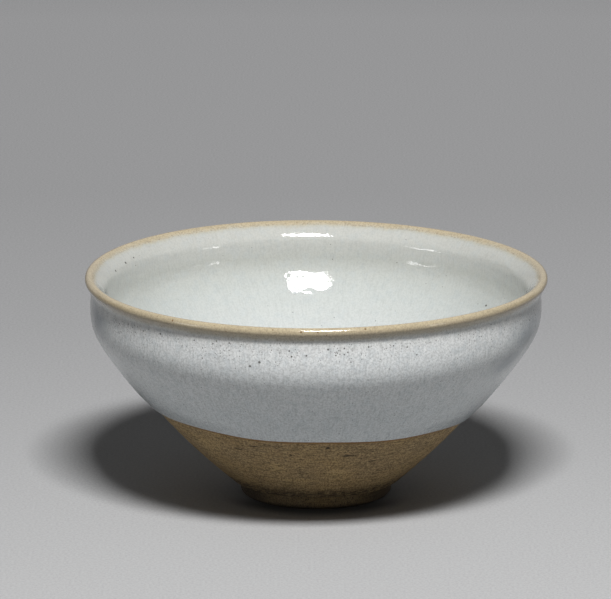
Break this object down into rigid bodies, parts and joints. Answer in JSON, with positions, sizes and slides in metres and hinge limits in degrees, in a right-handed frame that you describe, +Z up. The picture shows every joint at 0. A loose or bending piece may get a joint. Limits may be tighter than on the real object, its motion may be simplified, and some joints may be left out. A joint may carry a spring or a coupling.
{
  "type": "stoneware tea bowl",
  "caption": "Round wheel-thrown bowl with a flared lip, steep conical wall and small foot ring, pale glaze over bare brown clay.",
  "frame": {"origin": "centre of the foot ring's rest face, on the surface that the bowl stands on", "axes": "+Z up along the bowl's axis; the bowl is turned, so +X and +Y are free, and the picture looks along +Y from above"},
  "size_m": [0.125, 0.125, 0.061],
  "materials": {
    "bare_clay": "unglazed stoneware clay, matte, with fine turning lines",
    "foot_clay": "unglazed stoneware clay, matte, trimmed",
    "outer_glaze": "thick pale blue-grey glaze, glossy, with small iron specks",
    "rim_glaze": "thin tan glaze over the lip, satin",
    "inner_glaze": "thick pale blue-grey glaze, glossy, faintly green near the rim"
  },
  "bodies": {
    "root": {"clay_body": "bare_clay", "foot_ring": "foot_clay", "outer_glaze": "outer_glaze", "rim_glaze": "rim_glaze", "inner_glaze": "inner_glaze"}
  },
  "joints": []
}
